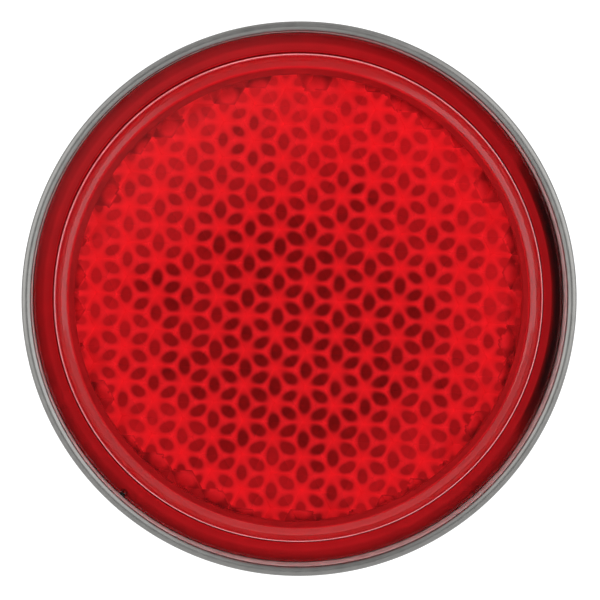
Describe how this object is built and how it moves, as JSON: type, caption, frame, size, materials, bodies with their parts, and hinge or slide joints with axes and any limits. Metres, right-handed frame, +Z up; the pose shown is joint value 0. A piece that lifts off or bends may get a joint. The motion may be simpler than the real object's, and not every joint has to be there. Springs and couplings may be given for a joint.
{
  "type": "driveway marker reflector",
  "caption": "Round red prismatic reflector head in a rolled metal rim, with a rear pad and a threaded stud for fixing it to a marker post.",
  "frame": {"origin": "on the stud's axis, in the plane of the rear pad's back face, where the head meets a post", "axes": "+Y back along the stud, so the lens faces -Y; +Z up; +X to the right as seen from the front"},
  "size_m": [0.08, 0.0404, 0.08],
  "materials": {
    "red_lens": "clear red moulded acrylic, polished",
    "rim_metal": "satin drawn sheet, lightly weathered",
    "zinc_steel": "bright zinc plate",
    "seal_rubber": "matt light grey sealant ring",
    "pad_rubber": "matt black closed-cell",
    "white_plastic": "matt white"
  },
  "bodies": {
    "head": {"reflector_lens": "red_lens", "rim_housing": "rim_metal", "lens_seal_ring": "seal_rubber", "backing_plate": "white_plastic", "stud_plate": "zinc_steel", "mount_stud": "zinc_steel", "plate_rivet_1": "zinc_steel", "plate_rivet_2": "zinc_steel", "plate_rivet_3": "zinc_steel", "plate_rivet_4": "zinc_steel", "rear_pad": "pad_rubber"},
    "washers": {"flat_washer": "zinc_steel", "lock_washer": "zinc_steel"},
    "nut": {"hex_nut": "zinc_steel"}
  },
  "joints": [
    {"name": "washer_slide", "type": "slide", "parent": "head", "child": "washers", "axis": [0, 1, 0], "range_m": [0, 0.0127]},
    {"name": "nut_turn", "type": "hinge", "parent": "washers", "child": "nut", "pos_m": [0, 0, 0], "axis": [0, 1, 0], "range_deg": [0, 3600]}
  ],
  "couplings": [
    {"joint": "washer_slide", "follows": "nut_turn", "m_per_rad": 0.00020213}
  ]
}
